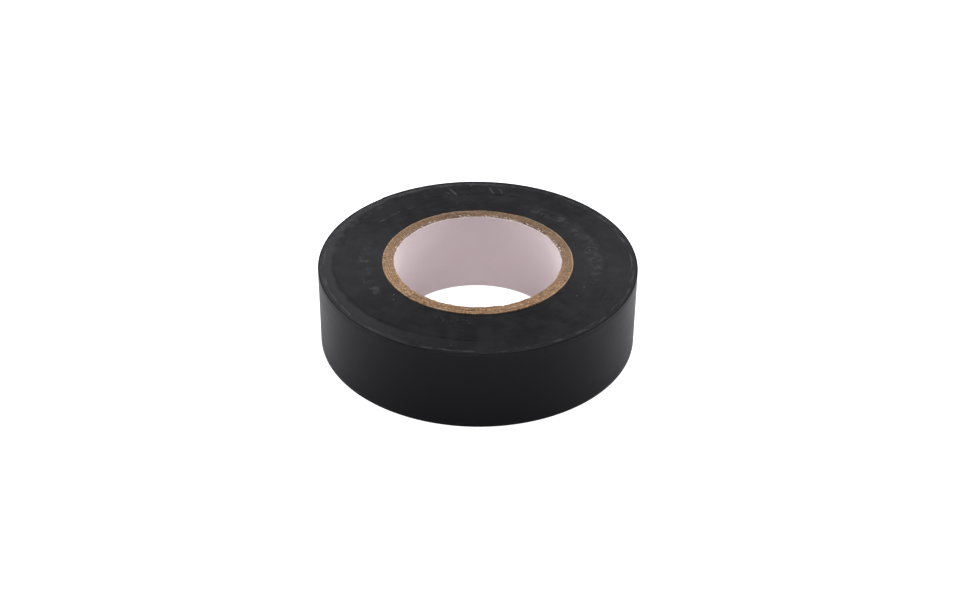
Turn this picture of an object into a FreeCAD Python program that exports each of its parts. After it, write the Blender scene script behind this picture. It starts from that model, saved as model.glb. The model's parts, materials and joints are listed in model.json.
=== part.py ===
import FreeCAD, Part

import math
import os

from FreeCAD import Vector

# A roll of PVC electrical insulating tape, standing on one face.
# Millimetres, +Z up.  The origin is on the roll's axis, in the plane it rests on.
# The core is a laminated paperboard tube.  The tape is one continuous strip, wound on the core as a
# spiral.  Each turn is stuck to the one under it, so the wound part of the strip is one body, and the
# edges of its turns show as a spiral groove in both faces.  The strip's last stretch is the free end
# that a user lifts and pulls, here on the +Y side.

# ---- Core tube -------------------------------------------------------------------------------
CORE_BORE_RADIUS = 19.0     # a 38 mm (1.5 inch) core, the size that tape pegs and dispensers take
CORE_HEIGHT = 19.5          # it stands proud of the tape at the upper face and flush at the lower
LINER_THICKNESS = 0.30      # the white paper that lines the bore, whose joint is lapped and closed
PLY_COUNT = 5               # brown board plies wound over the liner
PLY_THICKNESS = 0.41
GLUE_LINE = 0.02            # between one layer and the next
PLY_LEAD = 93.0             # height that a ply's strip of board climbs in one wrap of its helix
SEAM_WIDTH = 0.35           # the open butt joint between one wrap of that strip and the next
PLY_SEAM_ANGLE = 322.0      # where the innermost ply's joint meets the bottom edge, in degrees
PLY_SEAM_STAGGER = 137.0    # each further ply's joint lies this much further round

# ---- Tape ------------------------------------------------------------------------------------
TAPE_WIDTH = 18.9           # sold as 19 mm tape
TAPE_THICKNESS = 0.120
TURN_PITCH = 0.125          # from one turn to the next
WHOLE_TURNS = 115
START_ANGLE = 50.0          # where the strip's inner end lies on the core, in degrees
CUT_ANGLE = 130.0           # where the strip's outer end is cut off
GROOVE_WIDTH = 0.015        # between the edges of neighbouring turns, where the film is rounded
GROOVE_DEPTH = 0.40
WHOLE_TURN = 360.0
HALF_TURN = WHOLE_TURN / 2

# ---- Free end --------------------------------------------------------------------------------
SEGMENT_COUNT = 6           # stretches that the free end bends between
SEGMENT_SPAN = 6.0          # degrees of the outermost turn in each
SEGMENT_GAP = 0.06          # degrees left clear at each bend
FREE_END_LIFT = 0.03        # the free end stands this much off the turn that it sticks to

PART_FOLDER = "parts"

layer_pitch = PLY_THICKNESS + GLUE_LINE
core_outer_radius = CORE_BORE_RADIUS + LINER_THICKNESS + PLY_COUNT * layer_pitch
strip_inner_radius = core_outer_radius + GLUE_LINE
strip_turning = WHOLE_TURNS * WHOLE_TURN + (CUT_ANGLE - START_ANGLE) % WHOLE_TURN
free_end_turning = strip_turning - SEGMENT_COUNT * SEGMENT_SPAN


def direction(degrees):
    """A unit vector across the roll, at this angle from +X."""
    angle = math.radians(degrees)
    return Vector(math.cos(angle), math.sin(angle), 0)


def seam_cutter(inner, outer, bottom_angle):
    """A thin helical wall, which cuts a ply along the butt joint of its strip of board."""
    overshoot = 0.5
    section_count = 9
    low = -overshoot
    high = CORE_HEIGHT + overshoot
    sections = []
    for index in range(section_count):
        z = low + (high - low) * index / (section_count - 1)
        along = direction(bottom_angle + WHOLE_TURN * z / PLY_LEAD)
        across = Vector(-along.y, along.x, 0) * (SEAM_WIDTH / 2)
        near = along * (inner - overshoot) + Vector(0, 0, z)
        far = along * (outer + overshoot) + Vector(0, 0, z)
        sections.append(Part.makePolygon([near - across, far - across, far + across, near + across,
                                          near - across]))
    return Part.makeLoft(sections, True)


def tube(inner, thickness):
    """A plain tube as tall as the core."""
    outside = Part.makeCylinder(inner + thickness, CORE_HEIGHT)
    return outside.cut(Part.makeCylinder(inner, CORE_HEIGHT)).Solids[0]


def board_ply(inner, seam_angle):
    """One ply of the core: a tube of board, open along its slanting joint."""
    cutter = seam_cutter(inner, inner + PLY_THICKNESS, seam_angle)
    return tube(inner, PLY_THICKNESS).cut(cutter).Solids[0]


def strip_point(turning, height):
    """A point of the wound strip, this far along it in degrees of winding from its inner end.

    The height is measured outward from the strip's adhesive side.  The spiral is made of half
    turns, whose centres lie a quarter of the pitch to either side of the roll's axis.
    """
    half_turns = math.floor(turning / HALF_TURN)
    offset = TURN_PITCH / 4 if half_turns % 2 else -TURN_PITCH / 4
    radius = strip_inner_radius + TURN_PITCH / 4 + half_turns * TURN_PITCH / 2 + height
    return direction(START_ANGLE) * offset + direction(START_ANGLE + turning) * radius


def winding_stops(begin, end):
    """The turnings between these two at which the spiral passes from one half turn to the next."""
    first_whole = math.floor(begin / HALF_TURN) + 1
    last_whole = math.ceil(end / HALF_TURN) - 1
    return [begin] + [n * HALF_TURN for n in range(first_whole, last_whole + 1)] + [end]


def strip_arcs(begin, end, height):
    """Arcs along the strip between two turnings, at this height above its adhesive side."""
    stops = winding_stops(begin, end)
    arcs = []
    for start, stop in zip(stops, stops[1:]):
        middle = strip_point((start + stop) / 2, height)
        arc = Part.Arc(strip_point(start, height), middle, strip_point(stop, height))
        arcs.append(arc.toShape())
    return arcs


def closed_face(edges):
    """A flat face bounded by these edges, whatever their order."""
    return Part.Face(Part.Wire(Part.__sortEdges__(edges)))


def strip_face(begin, end, low, high):
    """The strip's section seen from above, between two turnings and two heights."""
    edges = strip_arcs(begin, end, low) + strip_arcs(begin, end, high)
    for turning in (begin, end):
        step = Part.LineSegment(strip_point(turning, low), strip_point(turning, high))
        edges.append(step.toShape())
    return closed_face(edges)


def turn_face(begin, height):
    """Everything inside one whole turn of the strip's surface at this height."""
    end = begin + WHOLE_TURN
    step = Part.LineSegment(strip_point(begin, height), strip_point(end, height))
    return closed_face(strip_arcs(begin, end, height) + [step.toShape()])


def wound_tape():
    """The wound part of the strip: one body, stepped by a turn's pitch at each end of the strip."""
    last = free_end_turning - SEGMENT_GAP / 2
    width = Vector(0, 0, TAPE_WIDTH)
    outside = turn_face(last - WHOLE_TURN, TAPE_THICKNESS).extrude(width)
    inside = turn_face(0.0, 0.0).extrude(width)
    stuck_down = 2.0
    groove = strip_face(stuck_down, last - WHOLE_TURN - stuck_down, TURN_PITCH - GROOVE_WIDTH, TURN_PITCH)
    overshoot = 0.5
    cutters = []
    for base in (-overshoot, TAPE_WIDTH - GROOVE_DEPTH):
        cutter = groove.extrude(Vector(0, 0, GROOVE_DEPTH + overshoot))
        cutter.translate(Vector(0, 0, base))
        cutters.append(cutter)
    return outside.cut(inside).cut(cutters).Solids[0]


def free_stretch(index):
    """One stretch of the free end, from just past its bend to just before the next."""
    begin = hinge_turning(index) + SEGMENT_GAP / 2
    end = hinge_turning(index + 1) - SEGMENT_GAP / 2
    face = strip_face(begin, end, FREE_END_LIFT, FREE_END_LIFT + TAPE_THICKNESS)
    return face.extrude(Vector(0, 0, TAPE_WIDTH))


def hinge_turning(index):
    """Where along the strip the free end's bend of this number lies, counted from the roll."""
    return free_end_turning + index * SEGMENT_SPAN


def hinge_point(index):
    """The bend's axis crosses this point, on the strip's back, so that a bend opens inward."""
    return strip_point(hinge_turning(index), TAPE_THICKNESS + FREE_END_LIFT)


def core_nodes():
    """The liner and the board plies, from the bore outward."""
    nodes = {"core_liner": tube(CORE_BORE_RADIUS, LINER_THICKNESS)}
    for index in range(PLY_COUNT):
        inner = CORE_BORE_RADIUS + LINER_THICKNESS + GLUE_LINE + index * layer_pitch
        seam_angle = PLY_SEAM_ANGLE + index * PLY_SEAM_STAGGER
        nodes[f"core_ply_{index + 1}"] = board_ply(inner, seam_angle)
    return nodes


def tape_nodes():
    """The wound strip, and the stretches of its free end from the roll outward."""
    nodes = {"wound_tape": wound_tape()}
    for index in range(SEGMENT_COUNT):
        nodes[f"free_end_{index + 1}"] = free_stretch(index)
    return nodes


def main():
    os.makedirs(PART_FOLDER, exist_ok=True)
    for name, shape in {**core_nodes(), **tape_nodes()}.items():
        shape.exportStep(f"{PART_FOLDER}/{name}.step")
        box = shape.optimalBoundingBox()
        print(f"{name}: {shape.ShapeType}, valid {shape.isValid()}, volume {shape.Volume:.1f} mm3, "
              f"z {box.ZMin:.2f} to {box.ZMax:.2f}, x {box.XMin:.2f} to {box.XMax:.2f}")
    turns = strip_turning / WHOLE_TURN
    strip_length = math.pi * turns * (2 * strip_inner_radius + turns * TURN_PITCH)
    print(f"core outer radius {core_outer_radius:.2f}, strip length {strip_length / 1000:.2f} m")


if __name__ == "__main__":
    main()
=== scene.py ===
import json
import math

import bmesh
import bpy
import numpy as np
from mathutils import Matrix, Vector


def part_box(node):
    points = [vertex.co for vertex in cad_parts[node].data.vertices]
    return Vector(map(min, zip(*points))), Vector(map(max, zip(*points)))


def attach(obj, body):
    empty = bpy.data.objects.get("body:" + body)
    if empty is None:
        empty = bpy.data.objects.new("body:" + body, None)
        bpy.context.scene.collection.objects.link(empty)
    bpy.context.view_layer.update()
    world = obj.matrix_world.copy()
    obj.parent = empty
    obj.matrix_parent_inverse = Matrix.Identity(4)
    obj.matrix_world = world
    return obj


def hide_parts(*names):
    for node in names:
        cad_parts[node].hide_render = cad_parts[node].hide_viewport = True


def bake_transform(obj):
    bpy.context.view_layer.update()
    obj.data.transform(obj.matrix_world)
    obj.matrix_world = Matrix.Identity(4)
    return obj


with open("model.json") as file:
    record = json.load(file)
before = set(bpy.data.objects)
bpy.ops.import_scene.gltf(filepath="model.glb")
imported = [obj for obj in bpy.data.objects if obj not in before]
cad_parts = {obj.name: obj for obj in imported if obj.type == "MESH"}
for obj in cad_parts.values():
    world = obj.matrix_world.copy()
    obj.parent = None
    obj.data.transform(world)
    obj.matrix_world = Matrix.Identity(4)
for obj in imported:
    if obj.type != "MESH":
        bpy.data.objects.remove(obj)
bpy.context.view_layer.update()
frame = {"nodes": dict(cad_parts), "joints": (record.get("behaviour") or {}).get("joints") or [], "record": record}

# The looks of a roll of PVC electrical tape.  Metres, +Z up, the roll's axis on Z.
# The wound tape, its free end, the core's plies and its liner each get a mesh with their real
# relief: the edges of the turns, the cut and frayed board, the paper.  Each stands for its CAD node.

MM = 0.001
SEED = 20
WELD_DISTANCE = 0.0001 * MM
SHARP_ANGLE = math.radians(50)  # edges that bend more than this aren't smoothed
BACK, LEFT, FRONT = 90.0, 180.0, 270.0      # directions round the axis, in degrees

# ---- Sizes, from the frame --------------------------------------------------------------------
mounts = {mount["name"]: mount for mount in frame["record"]["mounts"]}
BORE_RADIUS = mounts["core_bore"]["dims"]["r_mm"] * MM
CORE_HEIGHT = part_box("core_liner")[1].z
TAPE_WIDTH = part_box("wound_tape")[1].z
PLY_NAMES = sorted(name for name in frame["nodes"] if name.startswith("core_ply_"))
LINER_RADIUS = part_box("core_liner")[1].x
CORE_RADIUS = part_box(PLY_NAMES[-1])[1].x
HINGES = [Vector(joint["pos_m"]) for joint in frame["joints"]]

# ---- The strip and the core's layers, as they are wound -----------------------------------------
GLUE_LINE = 0.02 * MM
PLY_THICKNESS = 0.41 * MM
PLY_LEAD = 93.0 * MM            # height that a ply's strip of board climbs in one wrap
SEAM_WIDTH = 0.35 * MM
PLY_SEAM_ANGLE = 322.0          # where the inner ply's joint meets the bottom edge, in degrees
PLY_SEAM_STAGGER = 137.0
TAPE_THICKNESS = 0.120 * MM
TURN_PITCH = 0.125 * MM
FREE_END_LIFT = 0.03 * MM
WHOLE_TURNS = 115
START_ANGLE = 50                # degrees
STATION_STEP = 2                # degrees of winding from one row of points to the next
STATIONS_PER_TURN = 360 // STATION_STEP
SEGMENT_SPAN = 6                # degrees of winding in each stretch of the free end
STRIP_INNER_RADIUS = CORE_RADIUS + GLUE_LINE
HINGE_ANGLE = round(math.degrees(math.atan2(HINGES[0].y, HINGES[0].x)))
HINGE_TURNING = WHOLE_TURNS * 360 + HINGE_ANGLE - START_ANGLE
BODY_TURNING = HINGE_TURNING - SEGMENT_SPAN // 2 - 1
ROLL_RADIUS = STRIP_INNER_RADIUS + TURN_PITCH * HINGE_TURNING / 360


def strip_radius(turning):
    """The adhesive side's distance from the axis, this many degrees of winding from the inner end."""
    return STRIP_INNER_RADIUS + TURN_PITCH * turning / 360


def smooth_step(value):
    """0 below 0, 1 above 1 and an S between."""
    value = np.clip(value, 0.0, 1.0)
    return value * value * (3 - 2 * value)


def around(radius, degrees, z):
    """Points at these radii, angles and heights, as an array of x, y, z."""
    radius, angle, z = np.broadcast_arrays(radius, np.radians(degrees), z)
    return np.stack([radius * np.cos(angle), radius * np.sin(angle), z], axis=-1)


def rough(rng, rows, columns, blur_rows, blur_columns):
    """Random relief of unit height, blurred along each way by this many points."""
    field = rng.standard_normal((rows + 2 * blur_rows, columns + 2 * blur_columns))
    for axis, blur in ((0, blur_rows), (1, blur_columns)):
        if blur:
            kernel = np.hanning(2 * blur + 3)[1:-1]
            kernel /= np.sqrt((kernel ** 2).sum())
            field = np.apply_along_axis(np.convolve, axis, field, kernel, "valid")
    return field[:rows, :columns]


# ---- Meshes -----------------------------------------------------------------------------------
class Shell:
    """Collects patches of points that share their borders, and joins them into closed meshes."""

    def __init__(self):
        self.points = []
        self.quads = []
        self.slots = []
        self.count = 0

    def patch(self, points, slot=0):
        """A grid of points, rows by columns, as faces of this material slot."""
        rows, columns = points.shape[:2]
        index = np.arange(rows * columns).reshape(rows, columns) + self.count
        corners = [index[:-1, :-1], index[1:, :-1], index[1:, 1:], index[:-1, 1:]]
        self.quads.append(np.stack([corner.ravel() for corner in corners], axis=-1))
        self.points.append(points.reshape(-1, 3))
        self.slots.append(np.full(len(self.quads[-1]), slot, np.int32))
        self.count += rows * columns

    def build(self, name, materials):
        """The finished object.  Its materials read its rest positions, so they don't slide."""
        mesh = bpy.data.meshes.new(name)
        mesh.from_pydata(np.concatenate(self.points).tolist(), [], np.concatenate(self.quads).tolist())
        mesh.polygons.foreach_set("material_index", np.concatenate(self.slots))
        for material in materials:
            mesh.materials.append(material)
        joined = bmesh.new()
        joined.from_mesh(mesh)
        bmesh.ops.remove_doubles(joined, verts=joined.verts, dist=WELD_DISTANCE)
        bmesh.ops.recalc_face_normals(joined, faces=joined.faces)
        for edge in joined.edges:
            edge.smooth = edge.calc_face_angle(0.0) < SHARP_ANGLE
        for face in joined.faces:
            face.smooth = True
        joined.to_mesh(mesh)
        joined.free()
        rest = np.zeros(len(mesh.vertices) * 3, np.float32)
        mesh.vertices.foreach_get("co", rest)
        mesh.attributes.new("rest", "FLOAT_VECTOR", "POINT").data.foreach_set("vector", rest)
        piece = bpy.data.objects.new(name, mesh)
        bpy.context.scene.collection.objects.link(piece)
        return piece


# ---- Relief of the roll's faces and wall --------------------------------------------------------
CONE_RISE = 0.38 * MM           # the inner turns stand this much above the rim, evenly
STEP_RISE = 0.03 * MM           # and this much at one step near the rim
STEP_WIDTH = 0.45 * MM
STEP_REACH = (-60.0, 110.0)     # degrees past the left, between which the step drifts inward
STEP_SHARES = (0.9529, 0.8456)  # and its distance from the axis at both, as shares of the rim's
STEP_CLEAR_SIDE = 215.0         # degrees; the step is clear this side and faint at the others
FACE_DIP = 0.02 * MM
TURN_WANDER = 0.010 * MM        # how far each turn's edge strays from its neighbours'
WANDER_LENGTH = 40.0            # degrees of winding over which it strays
GROOVE_SINK = 0.012 * MM        # the rounded edges of neighbouring turns leave a groove
RIM_ROUNDING = 0.05 * MM
WALL_WANDER = 0.010 * MM
WALL_ROWS = 14


def from_angle(degrees, middle):
    """How far round from this middle an angle lies, from -180 to 180."""
    return (degrees - middle + 180.0) % 360.0 - 180.0


def step_radius(degrees):
    """Where the step in the faces lies: it drifts inward round the front of the roll."""
    return ROLL_RADIUS * np.interp(from_angle(degrees, LEFT), STEP_REACH, STEP_SHARES)


def step_strength(degrees):
    """The step is clear at the left and the front left, and faint elsewhere."""
    return 0.25 + 0.75 * smooth_step(1.6 - np.abs(from_angle(degrees, STEP_CLEAR_SIDE)) / 60.0)


def face_rise(radius, degrees):
    """How far the strip's edges stand above those at the rim, this far from the axis."""
    inward = np.clip((ROLL_RADIUS - radius) / (ROLL_RADIUS - STRIP_INNER_RADIUS), 0.0, 1.0)
    step = smooth_step((step_radius(degrees) - radius) / STEP_WIDTH)
    angle = np.radians(degrees)
    dip = np.sin(2 * angle + 0.7) * np.sin(7 * inward) + 0.6 * np.sin(3 * angle - 1.3) * np.sin(12 * inward)
    return CONE_RISE * inward + STEP_RISE * step_strength(degrees) * step + FACE_DIP * inward * dip


def wander(turning, rng):
    """How far the edge strays at each turning: it drifts along the strip, turn by turn."""
    knots = rng.standard_normal(int(turning.max() / WANDER_LENGTH) + 3)
    return TURN_WANDER * np.interp(turning / WANDER_LENGTH, np.arange(len(knots)), knots)


def wall_relief(degrees, share):
    """The outermost turn follows the slight unevenness of the turns under it."""
    angle = np.radians(degrees)
    waves = (np.sin(3 * angle + 2 * share) + 0.7 * np.sin(7 * angle - 3 * share + 1.0)
             + 0.5 * np.sin(13 * angle + 5 * share + 2.5))
    return WALL_WANDER * waves * np.sin(np.pi * share)


def wall_shares(rows=WALL_ROWS):
    """Heights of the wall's rows of points, as shares of the tape's width, and each row's pull-in."""
    rounding = RIM_ROUNDING / TAPE_WIDTH
    ends = [0.0, 0.3 * rounding, rounding]
    pulls = [1.0, 0.3, 0.0]
    middle = list(np.linspace(rounding, 1 - rounding, rows)[1:-1])
    shares = np.array(ends + middle + [1 - end for end in reversed(ends)])
    pull = np.array(pulls + [0.0] * len(middle) + pulls[::-1])
    return shares, RIM_ROUNDING * pull


def upright(low, high, shares):
    """Columns of points from the low points to the high ones."""
    share = shares[:, None, None]
    return low[None] * (1 - share) + high[None] * share


def outer_wall(turning, height, shares, pull):
    """The strip's back, or its adhesive side, as columns at these turnings."""
    degrees = START_ANGLE + turning
    share = shares[:, None]
    radius = strip_radius(turning) + height - pull[:, None] + wall_relief(degrees, share)
    return around(radius, degrees, TAPE_WIDTH * share)


def wound_tape(materials):
    """The wound part of the strip, turn by turn: the edges in both faces, the back of the last turn."""
    rng = np.random.default_rng(SEED)
    stations = np.arange(BODY_TURNING // STATION_STEP + 1)
    turning = stations * float(STATION_STEP)
    degrees = START_ANGLE + turning
    last_turn = turning[-STATIONS_PER_TURN:]
    shares, pull = wall_shares()
    shell = Shell()
    faces = []
    stray = wander(turning, rng)
    for base, sink in ((0.0, GROOVE_SINK), (TAPE_WIDTH, -GROOVE_SINK)):
        radius = strip_radius(turning)
        groove = around(radius, degrees, base + face_rise(radius, degrees) + sink)
        middle = radius + TURN_PITCH / 2
        ridge = around(middle, degrees, base + face_rise(middle, degrees) + stray)
        faces.append((groove, ridge))
    for line in faces[0]:
        line[:, 2] = np.maximum(line[:, 2], 0.0)        # the roll rests on its lower face
    wall = outer_wall(last_turn, TAPE_THICKNESS, shares, pull)
    for (groove, ridge), rim in zip(faces, (wall[0], wall[-1])):
        following = np.concatenate([groove[STATIONS_PER_TURN:], rim])
        shell.patch(np.stack([groove, ridge, following], axis=1), slot=1)
    (low_groove, low_ridge), (high_groove, high_ridge) = faces
    first_turn = slice(0, STATIONS_PER_TURN + 1)
    inner = upright(low_groove[first_turn], high_groove[first_turn], shares)
    shell.patch(inner, slot=2)
    ridge_column = upright(low_ridge[[0, -1]], high_ridge[[0, -1]], shares)
    shell.patch(np.stack([inner[:, 0], ridge_column[:, 0], inner[:, -1]], axis=1), slot=1)
    end_column = upright(low_groove[-1:], high_groove[-1:], shares)
    shell.patch(np.concatenate([end_column, wall], axis=1))
    shell.patch(np.stack([end_column[:, 0], ridge_column[:, 1], wall[:, -1]], axis=1), slot=1)
    return shell.build("wound_tape_turns", materials)


# ---- The free end -------------------------------------------------------------------------------
FREE_STATION_STEP = 0.5         # degrees of winding
CUT_TOOTH_DEPTH = 0.22 * MM     # the knife that cut the strip off has small teeth
CUT_TOOTH_COUNT = 18
ROWS_PER_TOOTH = 4


def free_piece(index, begin, end, cut_here, materials):
    """The strip between two turnings, as a closed sheet."""
    shares, pull = wall_shares(CUT_TOOTH_COUNT * ROWS_PER_TOOTH if cut_here else WALL_ROWS)
    turning = np.linspace(begin, end, round((end - begin) / FREE_STATION_STEP) + 1)
    lift = FREE_END_LIFT * smooth_step((turning - BODY_TURNING) / SEGMENT_SPAN)
    back = outer_wall(turning, lift + TAPE_THICKNESS, shares, pull)
    sticky = outer_wall(turning, lift, shares, -pull / 4)
    if cut_here:
        teeth = np.abs((shares * CUT_TOOTH_COUNT) % 1.0 - 0.5) * 2
        inset = np.degrees(CUT_TOOTH_DEPTH * teeth / ROLL_RADIUS)
        for side in (back, sticky):
            angle = np.arctan2(side[:, -1, 1], side[:, -1, 0]) - np.radians(inset)
            radius = np.hypot(side[:, -1, 0], side[:, -1, 1])
            side[:, -1, 0] = radius * np.cos(angle)
            side[:, -1, 1] = radius * np.sin(angle)
    shell = Shell()
    shell.patch(back)
    shell.patch(sticky, slot=2)
    for row in (0, -1):
        shell.patch(np.stack([back[row], sticky[row]]), slot=1)
    for column in (0, -1):
        shell.patch(np.stack([back[:, column], sticky[:, column]], axis=1), slot=1)
    return shell.build(f"free_end_bend_{index + 1}", materials)


def free_end(materials):
    """The free end as one strip in six pieces, each between two stretches' middles."""
    half = SEGMENT_SPAN / 2
    for index in range(len(HINGES)):
        hinge = HINGE_TURNING + index * SEGMENT_SPAN
        last = index == len(HINGES) - 1
        begin = BODY_TURNING if index == 0 else hinge - half
        end = hinge + (SEGMENT_SPAN if last else half)
        piece = free_piece(index, begin, end, last, materials)
        radius = strip_radius(hinge) + TAPE_THICKNESS
        bend = [Vector(around(radius, START_ANGLE + hinge + side, HINGES[index].z)) for side in (-half, half)]
        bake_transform(piece)
        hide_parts(f"free_end_{index + 1}")


# ---- The core -----------------------------------------------------------------------------------
CORE_STATIONS = 720
TOP_COLUMNS = 6
EDGE_SINK = 0.05 * MM           # the cut edge of each layer is lower where it meets its neighbour
CUT_ROUGHNESS = 0.02 * MM
CUT_WAVES = 0.03 * MM
LINER_TEAR = 0.07 * MM          # how deep the torn edge of the liner goes
LINER_BURR = 0.18 * MM          # how far the knife has pushed that edge into the bore
PLY_CHIPS = 0.03 * MM
THREAD_COUNT = 110
SHRED_COUNT = 80
FRAYED_SIDE = (10.0, 175.0)     # degrees; the knife came out of the board on this side
CLEAN_SIDE_SHARE = 0.25         # how much of the tearing there is on the opposite side
THREAD_RADIUS = 0.014 * MM
SHRED_RADIUS = 0.040 * MM
SHRED_FLATNESS = 0.3
FIBRE_RINGS = 6
FIBRE_ROOT_DEPTH = 0.08 * MM
FIBRE_LENGTHS = (0.2 * MM, 0.6 * MM)
FIBRE_RISES = (0.03 * MM, 0.13 * MM)


def core_layer(shell, rng, inner, outer, seam_angle, seam_gap, tear, burr, top_slot):
    """One layer of the core, from one side of its slanting joint round to the other.

    The knife left its upper end rounded where it meets its neighbours, waved and fibrous, and torn
    at the bore's side.
    """
    share = np.linspace(0.0, 1.0, CORE_STATIONS + 1)[None, :]
    across = np.linspace(0.0, 1.0, TOP_COLUMNS)[:, None]
    heights = CORE_HEIGHT * np.concatenate([np.linspace(0.0, 0.9, 7), [0.96, 0.985, 1.0]])[:, None]

    def angle(z):
        """Where each station lies at this height, because the layer winds as it climbs."""
        gap = np.degrees(seam_gap / outer)
        return seam_angle + 360 * z / PLY_LEAD + gap / 2 + share * (360 - gap)

    sink = EDGE_SINK * np.abs(2 * across - 1) ** 3
    grain = CUT_ROUGHNESS * rough(rng, TOP_COLUMNS, CORE_STATIONS + 1, 0, 2)
    waves = CUT_WAVES * rough(rng, 1, CORE_STATIONS + 1, 0, 18)
    toward_fray = np.cos(np.radians(angle(CORE_HEIGHT) - sum(FRAYED_SIDE) / 2))
    frayed = CLEAN_SIDE_SHARE + (1 - CLEAN_SIDE_SHARE) * smooth_step(toward_fray + 0.5)
    torn = tear * frayed * np.maximum(rough(rng, 1, CORE_STATIONS + 1, 0, 3) + 0.4, 0.0)
    top_z = np.minimum(CORE_HEIGHT, CORE_HEIGHT - sink + grain + waves - CUT_WAVES - torn * (1 - across))
    radius = inner + (outer - inner) * across
    pushed = burr * (1 + 0.2 * rough(rng, 1, CORE_STATIONS + 1, 0, 8))
    top_radius = radius + (np.minimum(torn, 0.8 * (outer - inner)) - pushed) * (1 - across)
    if not seam_gap:
        for field in (top_z, top_radius):
            field[:, -1] = field[:, 0]
    top = around(top_radius, angle(CORE_HEIGHT), top_z)
    bottom = around(radius, angle(0.0), 0.0)
    shell.patch(top, slot=top_slot)
    shell.patch(bottom)
    for column in (0, -1):
        side = around(radius[column], angle(heights), heights)
        side[-1] = top[column]
        shell.patch(side, slot=top_slot if column else 0)
    if seam_gap:
        for end in (0, -1):
            wall = around(radius.T, angle(heights)[:, [end]], heights)
            wall[-1] = top[:, end]
            shell.patch(wall)


def fibres(shell, rng, count, radius_range, thickness, flatness, slot):
    """Loose fibres or shreds that lie over the cut edge, each a thin tapering thread or strip."""
    ring = np.linspace(0.0, 2 * np.pi, 5)
    upward = np.array([0.0, 0.0, 1.0])
    along = np.linspace(0.0, 1.0, FIBRE_RINGS)[:, None]
    for _ in range(count):
        radius = rng.uniform(*radius_range)
        degrees = rng.uniform(*FRAYED_SIDE)
        root = around(radius, degrees, CORE_HEIGHT - FIBRE_ROOT_DEPTH)
        tangent = around(1.0, degrees + 90.0, 0.0)
        inward = around(-1.0, degrees, 0.0)
        heading = tangent * rng.normal(0.0, 1.0) + inward * rng.normal(0.1, 0.6)
        heading /= np.linalg.norm(heading)
        length = rng.uniform(*FIBRE_LENGTHS)
        rise = rng.uniform(*FIBRE_RISES)
        curl = rng.normal(0.0, 0.25)
        path = root + length * (heading * along + tangent * curl * along ** 2)
        path = path + upward * rise * np.sin(0.75 * np.pi * along)
        half = thickness * rng.uniform(0.6, 1.5) * np.sin(np.pi * along) ** 0.4
        half[[0, -1]] = 0.0
        circle = np.cos(ring)[:, None] * np.cross(heading, upward) + flatness * np.sin(ring)[:, None] * upward
        shell.patch(path[:, None] + half[:, None] * circle[None], slot=slot)


def core(board, liner, fibre):
    """The liner and the five plies, each with its frayed cut edge."""
    rng = np.random.default_rng(SEED + 1)
    shell = Shell()
    core_layer(shell, rng, BORE_RADIUS, LINER_RADIUS, 0.0, 0.0, LINER_TEAR, LINER_BURR, 2)
    fibres(shell, rng, THREAD_COUNT, (BORE_RADIUS, LINER_RADIUS + PLY_THICKNESS), THREAD_RADIUS, 1.0, 1)
    fibres(shell, rng, SHRED_COUNT, (BORE_RADIUS, LINER_RADIUS), SHRED_RADIUS, SHRED_FLATNESS, 0)
    piece = shell.build("core_liner_paper", [liner, fibre, board])
    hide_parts("core_liner")
    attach(piece, "roll")
    for index, name in enumerate(PLY_NAMES):
        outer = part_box(name)[1].x
        shell = Shell()
        seam_angle = PLY_SEAM_ANGLE + index * PLY_SEAM_STAGGER
        core_layer(shell, rng, outer - PLY_THICKNESS, outer, seam_angle, SEAM_WIDTH, PLY_CHIPS, 0.0, 0)
        piece = shell.build(f"{name}_board", [board])
        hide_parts(name)
        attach(piece, "roll")


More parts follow.
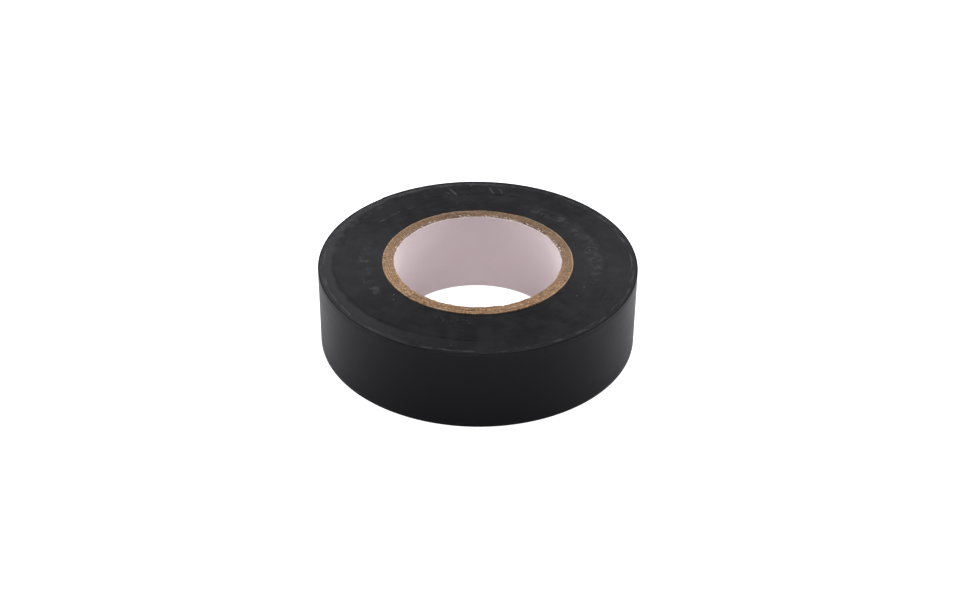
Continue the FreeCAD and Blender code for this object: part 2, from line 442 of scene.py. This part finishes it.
# ---- Materials ----------------------------------------------------------------------------------
class Paint:
    """A material, with short calls for the shader nodes in it."""

    def __init__(self, name, **finish):
        self.material = bpy.data.materials.new(name)
        self.material.use_nodes = True
        self.tree = self.material.node_tree
        self.shader = self.tree.nodes["Principled BSDF"]
        for socket, value in finish.items():
            self.shader.inputs[socket.replace("_", " ")].default_value = value

    def node(self, kind, *inputs, **settings):
        """A node with these settings.  Its inputs, in order, are values or other nodes' outputs."""
        node = self.tree.nodes.new(kind)
        for setting, value in settings.items():
            setattr(node, setting, value)
        for socket, value in zip(node.inputs, inputs):
            if isinstance(value, bpy.types.NodeSocket):
                self.tree.links.new(value, socket)
            elif value is not None:
                socket.default_value = value
        return node

    def maths(self, operation, *inputs):
        return self.node("ShaderNodeMath", *inputs, operation=operation).outputs[0]

    def vector_maths(self, operation, *inputs):
        return self.node("ShaderNodeVectorMath", *inputs, operation=operation)

    def rest(self):
        """The surface point's place at rest, in millimetres."""
        place = self.node("ShaderNodeAttribute", attribute_name="rest").outputs["Vector"]
        scaled = self.vector_maths("SCALE", place)
        scaled.inputs["Scale"].default_value = 1 / MM
        return scaled.outputs[0]

    def polar(self, place, zero=LEFT):
        """The point's distance from the axis, its angle from this direction in degrees, and its height."""
        turned = self.node("ShaderNodeVectorRotate", place, rotation_type="Z_AXIS")
        turned.inputs["Angle"].default_value = -math.radians(zero)
        x, y, z = self.node("ShaderNodeSeparateXYZ", turned.outputs[0]).outputs
        level = self.node("ShaderNodeCombineXYZ", x, y).outputs[0]
        radius = self.vector_maths("LENGTH", level).outputs["Value"]
        angle = self.maths("MULTIPLY", self.maths("ARCTAN2", y, x), 180 / math.pi)
        return radius, angle, z

    def zone(self, place, middle, spread, inner, outer, lean=0.0):
        """1 in a patch of the face that lies this way and between these radii, with a soft border.

        It leans by this many degrees of arc per millimetre outward.
        """
        radius, angle, _ = self.polar(place, middle)
        outward = self.maths("SUBTRACT", radius, (inner + outer) / 2)
        angle = self.maths("SUBTRACT", angle, self.maths("MULTIPLY", outward, lean))
        sector = self.ramp(self.maths("ABSOLUTE", angle), 1.3 * spread, 0.7 * spread)
        return self.maths("MULTIPLY", sector, self.ring(place, inner, outer))

    def ring(self, place, inner, outer):
        """1 between these radii, with a soft border."""
        radius, _, _ = self.polar(place)
        soft = 0.25 * (outer - inner)
        return self.maths("MULTIPLY", self.ramp(radius, inner - soft, inner + soft),
                          self.ramp(radius, outer + soft, outer - soft))

    def rings(self, place, across, along):
        """A place stretched round the roll: features this fine across it and this fine along it."""
        radius, _, z = self.polar(place)
        x, y, _ = self.node("ShaderNodeSeparateXYZ", place).outputs
        turned = [self.maths("MULTIPLY", self.maths("DIVIDE", side, radius), along) for side in (x, y)]
        height = self.maths("ADD", self.maths("MULTIPLY", radius, across), self.maths("MULTIPLY", z, across))
        return self.node("ShaderNodeCombineXYZ", *turned, height).outputs[0]

    def strayed(self, place, scale, reach):
        """The place moved aside by up to about this far, so that what is drawn there wavers."""
        clouds = self.node("ShaderNodeTexNoise", place)
        clouds.inputs["Scale"].default_value = scale
        aside = self.vector_maths("SUBTRACT", clouds.outputs["Color"], (0.5, 0.5, 0.5)).outputs[0]
        scaled = self.vector_maths("SCALE", aside)
        scaled.inputs["Scale"].default_value = 2 * reach
        return self.vector_maths("ADD", place, scaled.outputs[0]).outputs[0]

    def noise(self, place, scale, detail=2.0, roughness=0.5):
        node = self.node("ShaderNodeTexNoise", place)
        node.inputs["Scale"].default_value = scale
        node.inputs["Detail"].default_value = detail
        node.inputs["Roughness"].default_value = roughness
        return node.outputs["Fac"]

    def ramp(self, value, low, high, to_low=0.0, to_high=1.0, smooth=True):
        """The value carried from one range to another, and held there."""
        node = self.node("ShaderNodeMapRange", value, low, high, to_low, to_high, clamp=True)
        node.interpolation_type = "SMOOTHSTEP" if smooth else "LINEAR"
        return node.outputs[0]

    def mix(self, share, first, second):
        node = self.node("ShaderNodeMix", data_type="RGBA")
        for socket, value in zip((node.inputs[0], node.inputs[6], node.inputs[7]), (share, first, second)):
            if isinstance(value, bpy.types.NodeSocket):
                self.tree.links.new(value, socket)
            else:
                socket.default_value = value
        return node.outputs[2]

    def specks(self, place, per_mm, size, share):
        """Scattered dots: this share of the cells of a grid this fine holds one."""
        cells = self.node("ShaderNodeTexVoronoi", place)
        cells.inputs["Scale"].default_value = per_mm
        red = self.node("ShaderNodeSeparateColor", cells.outputs["Color"]).outputs[0]
        near = self.ramp(cells.outputs["Distance"], size * per_mm, size * per_mm * 0.5)
        return self.maths("MULTIPLY", near, self.maths("GREATER_THAN", red, 1 - share))

    def bump(self, height, distance):
        """Relief too fine for the mesh: this height times this distance in metres."""
        node = self.node("ShaderNodeBump")
        node.inputs["Distance"].default_value = distance
        self.tree.links.new(height, node.inputs["Height"])
        self.tree.links.new(node.outputs[0], self.shader.inputs["Normal"])

    def paint(self, **sockets):
        for name, value in sockets.items():
            self.tree.links.new(value, self.shader.inputs[name.replace("_", " ")])
        return self.material


BLUE_LEAN = 0.0016


def grey(value):
    return (value, value, value, 1.0)


def charcoal(value):
    """The film's grey, which leans to blue."""
    return (value, value, value + BLUE_LEAN, 1.0)


# Marks on the face, each with its middle angle and half spread in degrees, its inner and outer radius
# as shares of the rim's, and its strength.
MOTTLES = ((122.0, 48.0, 0.945, 0.990, 0.55), (152.0, 22.0, 0.900, 0.960, 0.35),
           (138.0, 14.0, 0.775, 0.790, 0.50), (38.0, 22.0, 0.965, 0.990, 0.40),
           (24.0, 38.0, 0.700, 0.780, 0.22))
RUBS = ((24.0, 38.0, 0.690, 0.775, 0.42), (190.0, 22.0, 0.680, 0.740, 0.60),
        (257.0, 9.0, 0.660, 0.700, 0.50))
CREASES = ((90.0, 19.0, 0.820, 0.843, 0.55), (20.0, 34.0, 0.803, 0.811, 0.45),
           (262.0, 12.0, 0.860, 0.867, 0.50))
SCRATCHES = ((80.8, 0.45, 0.850, 0.920, 0.25), (84.2, 0.45, 0.840, 0.920, 0.35),
             (101.5, 0.45, 0.830, 0.920, 0.40), (103.9, 0.35, 0.840, 0.880, 0.18))
SCRATCH_LEAN = 0.7              # degrees of arc per millimetre outward
# Radii in millimetres: a ring of short dashes near the rim, and painted shade on the last turns at the rim itself.
DASHED_RING = (0.958 * ROLL_RADIUS / MM, 0.980 * ROLL_RADIUS / MM)
RIM_SHADE = (ROLL_RADIUS / MM - 0.45, ROLL_RADIUS / MM - 0.20)


def tape_back():
    """The back of the film: satin black vinyl, nearly smooth, with faint stretch marks."""
    paint = Paint("tape_vinyl_back", IOR=1.42)
    place = paint.rest()
    cloud = paint.noise(place, 0.09, 3.0)
    streak = paint.noise(paint.rings(place, 1.4, 3.0), 1.0, 3.0)
    colour = paint.mix(cloud, (0.0050, 0.0050, 0.0070, 1), (0.0075, 0.0075, 0.0100, 1))
    gloss = paint.maths("ADD", paint.ramp(streak, 0.35, 0.7, 0.28, 0.31),
                        paint.ramp(cloud, 0.3, 0.7, 0.0, 0.05))
    paint.bump(paint.noise(place, 2.2, 3.0, 0.6), 0.006 * MM)
    return paint.paint(Base_Color=colour, Roughness=gloss)


def marks(paint, colour, place, pattern, tone, zones, lean=0.0):
    """The colour with these marks over it: a pattern, kept to some patches of the face."""
    rim = ROLL_RADIUS / MM
    for middle, spread, inner, outer, strength in zones:
        zone = paint.zone(place, middle, spread, inner * rim, outer * rim, lean)
        share = paint.maths("MULTIPLY", paint.maths("MULTIPLY", zone, pattern), strength)
        colour = paint.mix(share, colour, tone)
    return colour


def step_band_and_lip_shade(paint, colour, place, wavering):
    """The paler band between the step and the rim, with a dark line of painted shade along the step's lip."""
    rim = ROLL_RADIUS / MM
    _, turned, _ = paint.polar(place)
    radius, _, _ = paint.polar(wavering)
    step = paint.ramp(turned, *STEP_REACH, *(rim * share for share in STEP_SHARES), smooth=False)
    beyond = paint.maths("SUBTRACT", radius, step)
    clear = paint.maths("MULTIPLY", paint.ramp(turned, -110.0, -40.0), paint.ramp(turned, 88.0, 38.0))
    band = paint.maths("MULTIPLY", paint.ramp(beyond, -0.2, 0.5), paint.ramp(clear, 0.0, 1.0, 0.06, 0.50))
    colour = paint.mix(band, colour, charcoal(0.031))
    # painted shade: a dark line along the step's lip, round the left and front of the roll
    lip = paint.ramp(paint.maths("ABSOLUTE", paint.maths("ADD", beyond, 0.4)), 0.45, 0.1, 0.0, 0.28)
    along = paint.maths("MULTIPLY", paint.ramp(turned, -25.0, 5.0), paint.ramp(turned, 95.0, 30.0))
    return paint.mix(paint.maths("MULTIPLY", lip, along), colour, charcoal(0.004))


def handling_marks(paint, colour, place, wavering):
    """The marks that handling has left on a face: patches, creases, rubs, scratches and dust."""
    mottle = paint.ramp(paint.noise(place, 0.60, 3.0, 0.65), 0.45, 0.65)
    colour = marks(paint, colour, wavering, mottle, charcoal(0.042), MOTTLES)
    smudge = paint.ramp(paint.noise(paint.rings(place, 0.5, 14.0), 1.0, 2.0), 0.38, 0.56)
    colour = marks(paint, colour, wavering, smudge, charcoal(0.003), CREASES)
    shaken = paint.strayed(place, 0.8, 1.1)
    stroke = paint.ramp(paint.noise(paint.rings(shaken, 0.55, 24.0), 1.0, 3.0), 0.50, 0.62)
    colour = marks(paint, colour, wavering, stroke, charcoal(0.046), RUBS)
    pits = paint.specks(shaken, 0.7, 0.30, 0.30)
    colour = marks(paint, colour, wavering, pits, charcoal(0.002), RUBS)
    colour = marks(paint, colour, wavering, 1.0, charcoal(0.075), SCRATCHES, SCRATCH_LEAN)
    dash = paint.ramp(paint.noise(paint.rings(place, 2.4, 9.0), 1.0, 2.0), 0.51, 0.60)
    dashes = paint.maths("MULTIPLY", dash, paint.ring(place, *DASHED_RING))
    colour = paint.mix(paint.maths("MULTIPLY", dashes, 0.45), colour, charcoal(0.06))
    return paint.mix(paint.specks(place, 0.55, 0.17, 0.11), colour, charcoal(0.095))


def tape_edges():
    """The edges of the film, seen on the faces: matte charcoal, mottled, with handling marks, and painted shade
    along the step's lip and at the rim.
    """
    paint = Paint("tape_cut_edges", Specular_IOR_Level=0.016, Anisotropic=0.85, Anisotropic_Rotation=0.25)
    place = paint.rest()
    wavering = paint.strayed(place, 0.30, 0.7)
    streak = paint.noise(paint.rings(place, 2.2, 5.0), 1.0, 4.0, 0.6)
    cloud = paint.noise(place, 0.16, 4.0, 0.6)
    colour = paint.mix(paint.ramp(streak, 0.3, 0.75), charcoal(0.0080), charcoal(0.0115))
    colour = paint.mix(paint.ramp(cloud, 0.40, 0.70, 0.0, 0.6), colour, charcoal(0.016))
    drift = paint.noise(paint.rings(wavering, 0.22, 8.0), 1.0, 3.0, 0.55)
    colour = paint.mix(paint.ramp(drift, 0.42, 0.66, 0.0, 0.5), colour, charcoal(0.017))
    colour = step_band_and_lip_shade(paint, colour, place, wavering)
    colour = handling_marks(paint, colour, place, wavering)
    radius, _, _ = paint.polar(place)
    # painted shade: the last turns darken towards the rim, where the face turns over into the wall
    colour = paint.mix(paint.ramp(radius, *RIM_SHADE), colour, charcoal(0.005))
    paint.bump(paint.noise(place, 3.0, 2.0), 0.010 * MM)
    turned_grain = paint.node("ShaderNodeTangent", direction_type="RADIAL", axis="Z").outputs[0]
    gloss = paint.ramp(cloud, 0.3, 0.7, 0.66, 0.76)
    return paint.paint(Base_Color=colour, Roughness=gloss, Tangent=turned_grain)


def adhesive():
    """The adhesive side: black, shiny and faintly rippled."""
    paint = Paint("tape_adhesive_side", IOR=1.5)
    place = paint.rest()
    ripple = paint.noise(paint.rings(place, 0.9, 2.0), 1.0, 3.0)
    colour = paint.mix(ripple, grey(0.006), grey(0.012))
    paint.bump(paint.noise(place, 1.1, 3.0), 0.02 * MM)
    return paint.paint(Base_Color=colour, Roughness=paint.ramp(ripple, 0.3, 0.7, 0.16, 0.28))


SHADED_SIDE_ANGLE = 76.0          # the side where painted shade darkens the board's cut edge
EDGE_HIGHLIGHT_RADII = (CORE_RADIUS / MM - 0.26, CORE_RADIUS / MM - 0.12)      # radii over which it turns pale: a painted highlight along the outer edge


def kraft_board():
    """Kraft board, cut across: brown fibres along the layers, with pale and dark specks, painted shade on one side
    and a painted highlight along the outer edge.
    """
    paint = Paint("core_kraft_board", IOR=1.4)
    place = paint.rest()
    layer = paint.noise(paint.rings(place, 2.0, 30.0), 1.0, 2.0, 0.7)
    fleck = paint.noise(place, 1.7, 2.0, 0.75)
    tint = paint.noise(place, 0.35, 2.0)
    colour = paint.mix(paint.ramp(layer, 0.42, 0.60), (0.118, 0.061, 0.028, 1), (0.280, 0.147, 0.061, 1))
    colour = paint.mix(paint.ramp(tint, 0.35, 0.65, 0.0, 0.4), colour, (0.225, 0.133, 0.067, 1))
    patch = paint.noise(paint.rings(place, 0.9, 18.0), 1.0, 3.0, 0.6)
    colour = paint.mix(paint.ramp(patch, 0.50, 0.60, 0.0, 0.65), colour, (0.225, 0.100, 0.040, 1))
    pulp = paint.noise(paint.rings(place, 1.4, 22.0), 1.0, 2.0, 0.65)
    colour = paint.mix(paint.ramp(pulp, 0.53, 0.62, 0.0, 0.80), colour, (0.100, 0.052, 0.023, 1))
    colour = paint.mix(paint.ramp(fleck, 0.53, 0.64, 0.0, 0.85), colour, (0.430, 0.272, 0.145, 1))
    colour = paint.mix(paint.specks(place, 1.3, 0.19, 0.22), colour, (0.085, 0.045, 0.028, 1))
    colour = paint.mix(paint.specks(place, 1.6, 0.13, 0.20), colour, (0.50, 0.375, 0.26, 1))
    radius, turned, _ = paint.polar(place, SHADED_SIDE_ANGLE)
    # painted shade: the cut edge is darker on this side of the roll
    side_shade = paint.ramp(paint.maths("ABSOLUTE", turned), 125.0, 45.0, 0.0, 0.58)
    colour = paint.mix(side_shade, colour, (0.080, 0.044, 0.022, 1))
    # painted highlight along the board's outer edge, broken up by the tint
    edge = paint.ramp(radius, *EDGE_HIGHLIGHT_RADII)
    edge_highlight = paint.maths("MULTIPLY", edge, paint.ramp(tint, 0.3, 0.65, 0.05, 0.65))
    colour = paint.mix(edge_highlight, colour, (0.40, 0.272, 0.165, 1))
    paint.bump(paint.noise(place, 4.0, 3.0, 0.7), 0.05 * MM)
    return paint.paint(Base_Color=colour, Roughness=paint.ramp(fleck, 0.3, 0.7, 0.75, 0.95))


LINER_LAP_ANGLE = 205.0         # the liner's lapped joint, which shows as a faint line up the bore
PALE_LIT_EDGE = (CORE_HEIGHT / MM - 0.65, CORE_HEIGHT / MM - 0.40)      # heights over which it turns pale: raw paper, with a painted highlight


def liner_paper():
    """The paper of the bore: white with a lilac cast, lightly mottled, and paler at its cut edge, partly raw paper
    and partly a painted highlight.
    """
    paint = Paint("core_liner_white", IOR=1.45, Specular_IOR_Level=0.3)
    place = paint.rest()
    cloud = paint.noise(place, 0.25, 4.0, 0.6)
    grain = paint.noise(place, 3.0, 3.0, 0.6)
    colour = paint.mix(cloud, (0.76, 0.665, 0.680, 1), (0.80, 0.715, 0.730, 1))
    colour = paint.mix(paint.ramp(grain, 0.3, 0.7, 0.0, 0.12), colour, (0.68, 0.60, 0.61, 1))
    _, angle, height = paint.polar(place, LINER_LAP_ANGLE)
    climbed = paint.maths("SUBTRACT", angle, paint.maths("MULTIPLY", height, 360 * MM / PLY_LEAD))
    lap = paint.ramp(paint.maths("ABSOLUTE", climbed), 0.40, 0.15, 0.0, 0.5)
    colour = paint.mix(lap, colour, (0.52, 0.44, 0.44, 1))
    fuzz = paint.noise(paint.rings(place, 1.0, 40.0), 1.0, 2.0)
    ragged = paint.maths("ADD", height, paint.ramp(fuzz, 0.35, 0.65, -0.15, 0.15))
    # the pale top edge: the raw paper's own tone plus a painted highlight on the edge
    colour = paint.mix(paint.ramp(ragged, *PALE_LIT_EDGE), colour, (0.98, 0.93, 0.90, 1))
    paint.bump(grain, 0.02 * MM)
    return paint.paint(Base_Color=colour, Roughness=paint.ramp(grain, 0.3, 0.7, 0.55, 0.68))


def paper_fibre():
    """The loose fibres: pale, from the liner and the first ply."""
    paint = Paint("core_frayed_fibre", IOR=1.4)
    shade = paint.noise(paint.rest(), 1.2, 2.0)
    colour = paint.mix(shade, (0.30, 0.21, 0.15, 1), (0.72, 0.63, 0.58, 1))
    return paint.paint(Base_Color=colour, Roughness=paint.ramp(shade, 0.3, 0.7, 0.8, 0.95))


# ---- Stage --------------------------------------------------------------------------------------
CAMERA_TARGET = Vector((0.00058, 0.0, 0.00854))
CAMERA_DISTANCE = 0.3955
CAMERA_ELEVATION = 34.0         # degrees
CAMERA_ROLL = 0.567             # degrees
CAMERA_LENS = 64.97             # mm
SENSOR_WIDTH = 36.0             # mm
FLOOR_SIZE = 8.0
FLOOR_DROP = 0.1 * MM
FLOOR_COLOUR = (0.38, 0.38, 0.40, 1.0)
FLOOR_GLOW = 0.97
WORLD_STRENGTH = 0.01
LIGHT_DISTANCE = 0.8


def add_camera():
    camera = bpy.data.objects.new("camera", bpy.data.cameras.new("camera"))
    camera.data.lens = CAMERA_LENS
    camera.data.sensor_width = SENSOR_WIDTH
    camera.data.clip_start = 0.01
    elevation = math.radians(CAMERA_ELEVATION)
    back = Vector((0.0, -math.cos(elevation), math.sin(elevation)))
    up = Vector((0.0, math.sin(elevation), math.cos(elevation)))
    right = Vector((1.0, 0.0, 0.0))
    turn = Matrix.Rotation(math.radians(CAMERA_ROLL), 3, back)
    axes = Matrix((turn @ right, turn @ up, back)).transposed()
    camera.matrix_world = Matrix.Translation(CAMERA_TARGET + CAMERA_DISTANCE * back) @ axes.to_4x4()
    bpy.context.scene.collection.objects.link(camera)
    bpy.context.scene.camera = camera


def add_light(name, azimuth, elevation, size, power):
    """A square soft light, aimed at the middle of the roll from this direction in degrees."""
    light = bpy.data.objects.new(name, bpy.data.lights.new(name, "AREA"))
    light.data.size = size
    light.data.energy = power
    spot = Vector(around(math.cos(math.radians(elevation)) * LIGHT_DISTANCE, azimuth,
                         math.sin(math.radians(elevation)) * LIGHT_DISTANCE))
    light.location = spot
    light.rotation_euler = spot.to_track_quat("Z", "Y").to_euler()
    bpy.context.scene.collection.objects.link(light)


def add_floor():
    """A pale floor.  The camera sees it as lit paper; the roll sees it as a softer grey."""
    half = FLOOR_SIZE / 2
    mesh = bpy.data.meshes.new("floor")
    corners = [(-half, -half, 0), (half, -half, 0), (half, half, 0), (-half, half, 0)]
    mesh.from_pydata(corners, [], [(0, 1, 2, 3)])
    floor = bpy.data.objects.new("floor", mesh)
    floor.location.z = -FLOOR_DROP
    bpy.context.scene.collection.objects.link(floor)
    material = bpy.data.materials.new("floor_paper")
    material.use_nodes = True
    tree = material.node_tree
    paper = tree.nodes["Principled BSDF"]
    paper.inputs["Base Color"].default_value = FLOOR_COLOUR
    paper.inputs["Roughness"].default_value = 0.9
    glow = tree.nodes.new("ShaderNodeEmission")
    glow.inputs["Strength"].default_value = FLOOR_GLOW
    seen = tree.nodes.new("ShaderNodeLightPath")
    both = tree.nodes.new("ShaderNodeAddShader")
    choice = tree.nodes.new("ShaderNodeMixShader")
    output = tree.nodes["Material Output"]
    tree.links.new(paper.outputs[0], both.inputs[0])
    tree.links.new(glow.outputs[0], both.inputs[1])
    tree.links.new(seen.outputs["Is Camera Ray"], choice.inputs[0])
    tree.links.new(paper.outputs[0], choice.inputs[1])
    tree.links.new(both.outputs[0], choice.inputs[2])
    tree.links.new(choice.outputs[0], output.inputs["Surface"])
    mesh.materials.append(material)


def add_world():
    """An even grey surround, which the camera sees as white."""
    world = bpy.data.worlds.new("surround")
    world.use_nodes = True
    tree = world.node_tree
    seen = tree.nodes.new("ShaderNodeLightPath")
    strength = tree.nodes.new("ShaderNodeMapRange")
    strength.inputs["To Min"].default_value = WORLD_STRENGTH
    strength.inputs["To Max"].default_value = 1.0
    tree.links.new(seen.outputs["Is Camera Ray"], strength.inputs["Value"])
    background = tree.nodes["Background"]
    background.inputs["Color"].default_value = grey(1.0)
    tree.links.new(strength.outputs[0], background.inputs["Strength"])
    bpy.context.scene.world = world


def add_lights():
    """Softboxes in pairs, from low behind the roll round to its sides, and one high in front."""
    for side in (-1, 1):
        add_light("low_back_softbox", BACK + 7 * side, 18, 0.4, 3.9)
        add_light("back_softbox", BACK + 30 * side, 32, 0.5, 3.5)
        add_light("side_softbox", BACK + 65 * side, 25, 0.5, 2.2)
        add_light("far_side_softbox", BACK + 95 * side, 20, 0.5, 1.6)
    add_light("front_softbox", FRONT, 60, 0.6, 2.5)


def main():
    bpy.context.scene.view_settings.view_transform = "Standard"
    add_camera()
    add_world()
    add_lights()
    add_floor()
    strip_materials = [tape_back(), tape_edges(), adhesive()]
    roll = wound_tape(strip_materials)
    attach(roll, "roll")
    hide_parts("wound_tape")
    free_end(strip_materials)
    core(kraft_board(), liner_paper(), paper_fibre())


main()
